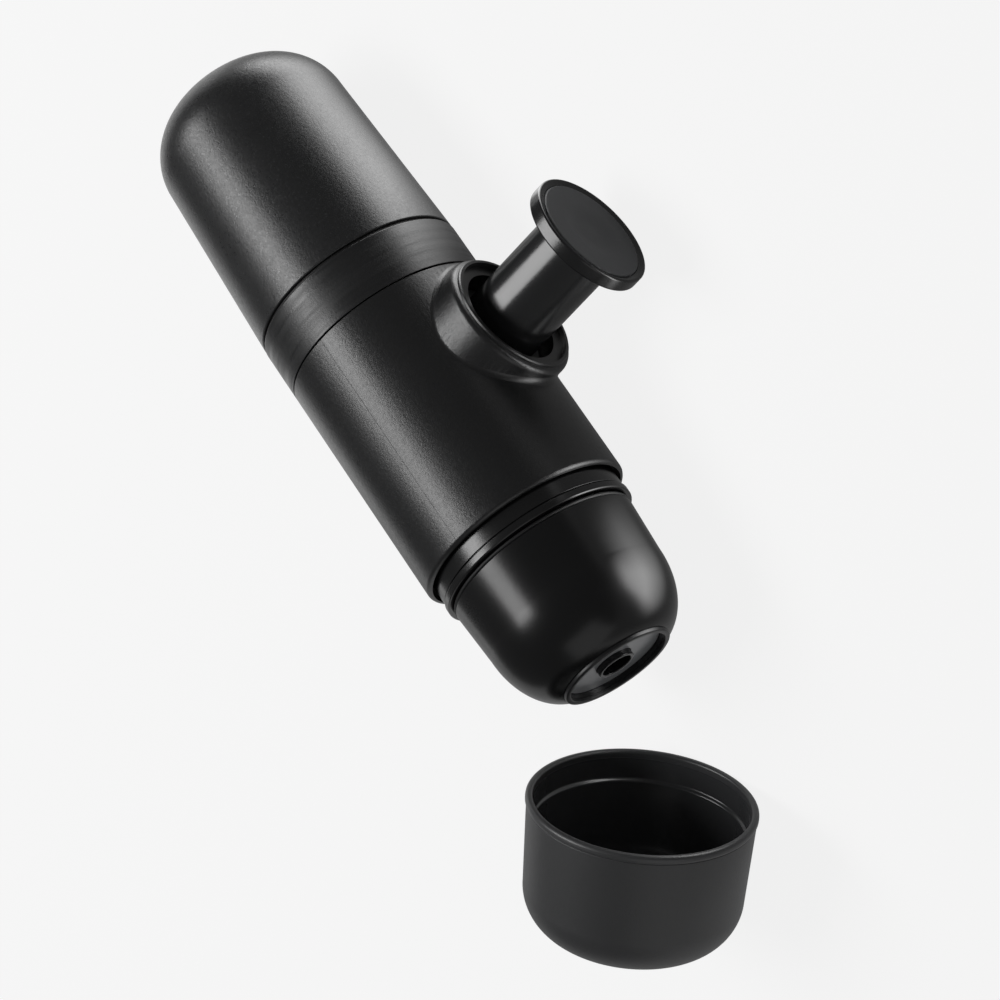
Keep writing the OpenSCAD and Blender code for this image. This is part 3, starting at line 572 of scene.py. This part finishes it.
# A pale table; glossy rays alone see it as a shaped light instead, brightest in a strip beside the pump
def paleFloor():
    paint = Paint("paleFloor")
    camera = paint.add("ShaderNodeLightPath", out="Is Camera Ray")
    glossy = paint.add("ShaderNodeLightPath", out="Is Glossy Ray")
    where = paint.place()
    across = paint.add("ShaderNodeSeparateXYZ", None, {"Vector": where}, "Y")
    along = paint.add("ShaderNodeSeparateXYZ", None, {"Vector": where}, "X")
    strip = paint.ramp(across * -2.5, stage["strip"])
    ends = paint.ramp(along * 2.0 + 0.6, stage["ends"])
    side = paint.ramp(across * 10.0 + 0.5, [(0.3, stage["nearGlow"]), (0.7, stage["farGlow"])])
    foot = paint.ramp(along * 2.0 + 0.6, stage["foot"])
    glow = strip * ends * stage["glowLevel"] + side * foot * stage["farLevel"]
    level = stage["floorColour"] + (paint.noise(where, 6.0) - 0.5) * 0.01
    colour = paint.add("ShaderNodeCombineColor", None, {"Red": level, "Green": level, "Blue": level}, "Color")
    matte = paint.add("ShaderNodeBsdfDiffuse", None, {"Color": colour}, "BSDF")
    plain = paint.add("ShaderNodeEmission", None, {"Color": grey(stage["pale"]), "Strength": 1.0}, "Emission")
    lit = paint.add("ShaderNodeEmission", None, {"Color": grey(1.0), "Strength": glow}, "Emission")
    seen = camera * stage["paleShare"]
    shown = paint.add("ShaderNodeMixShader", None, {0: seen, 1: matte, 2: plain}, "Shader")
    return paint.finish(paint.add("ShaderNodeMixShader", None, {0: glossy, 1: shown, 2: lit}, "Shader"))


floorMesh = bpy.data.meshes.new("floor")
bm = bmesh.new()
bmesh.ops.create_grid(bm, x_segments=1, y_segments=1, size=stage["floorHalf"])
bmesh.ops.translate(bm, verts=bm.verts, vec=(0, 0, stage["floorLevel"]))
bm.to_mesh(floorMesh)
bm.free()
floorMesh.materials.append(paleFloor())
floor = bpy.data.objects.new("floor", floorMesh)
bpy.context.scene.collection.objects.link(floor)

world = bpy.data.worlds.new("softRoom")
bpy.context.scene.world = world
world.use_nodes = True
worldTree = world.node_tree
worldTree.nodes["Background"].inputs["Color"].default_value = (1, 1, 1, 1)
worldTree.nodes["Background"].inputs["Strength"].default_value = stage["worldLevel"]


# A rectangular lamp; its long side runs along the part
def softbox(name, place, aim, width, height, power):
    lamp = bpy.data.lights.new(name, "AREA")
    lamp.shape = "RECTANGLE"
    lamp.size, lamp.size_y = width, height
    lamp.energy = power
    box = bpy.data.objects.new(name, lamp)
    bpy.context.scene.collection.objects.link(box)
    box.location = place
    away = (Vector(place) - Vector(aim)).normalized()
    beside = away.cross(Vector((1, 0, 0))).normalized()
    box.rotation_mode = "QUATERNION"
    box.rotation_quaternion = Matrix((beside.cross(away), beside, away)).transposed().to_quaternion()


lampSet = {"overhead": {"place": (0.52, 0.28, 1.08), "aim": (0.35, 0.16, 0.0), "width": 1.10, "height": 0.48,
                        "power": 8.2},
           "side": {"place": (-1.5, -0.2, 0.5), "aim": (-0.15, 0.0, 0.0), "width": 1.2, "height": 1.2,
                    "power": 1.5}}
for lampName, lampLook in lampSet.items():
    softbox(lampName, **lampLook)

cameraSet = {"place": (-442.37956 * mm, -573.71659 * mm, 637.67914 * mm),
             "lens": 126.0, "sensor": 36.0, "near": 0.05, "far": 20.0,
             "right": (-0.53410397, -0.48783365, -0.69047178), "up": (0.77860579, -0.60205964, -0.17691019),
             "back": (-0.32940245, -0.63209376, 0.70139255)}
cameraData = bpy.data.cameras.new("camera")
cameraData.sensor_width = cameraSet["sensor"]
cameraData.lens = cameraSet["lens"]
cameraData.clip_start = cameraSet["near"]
cameraData.clip_end = cameraSet["far"]
camera = bpy.data.objects.new("camera", cameraData)
bpy.context.scene.collection.objects.link(camera)
turn = Matrix((cameraSet["right"], cameraSet["up"], cameraSet["back"])).transposed()
camera.rotation_mode = "QUATERNION"
camera.rotation_quaternion = turn.to_quaternion()
camera.location = cameraSet["place"]
bpy.context.scene.camera = camera
bpy.context.scene.view_settings.view_transform = "Standard"
print("stage set")
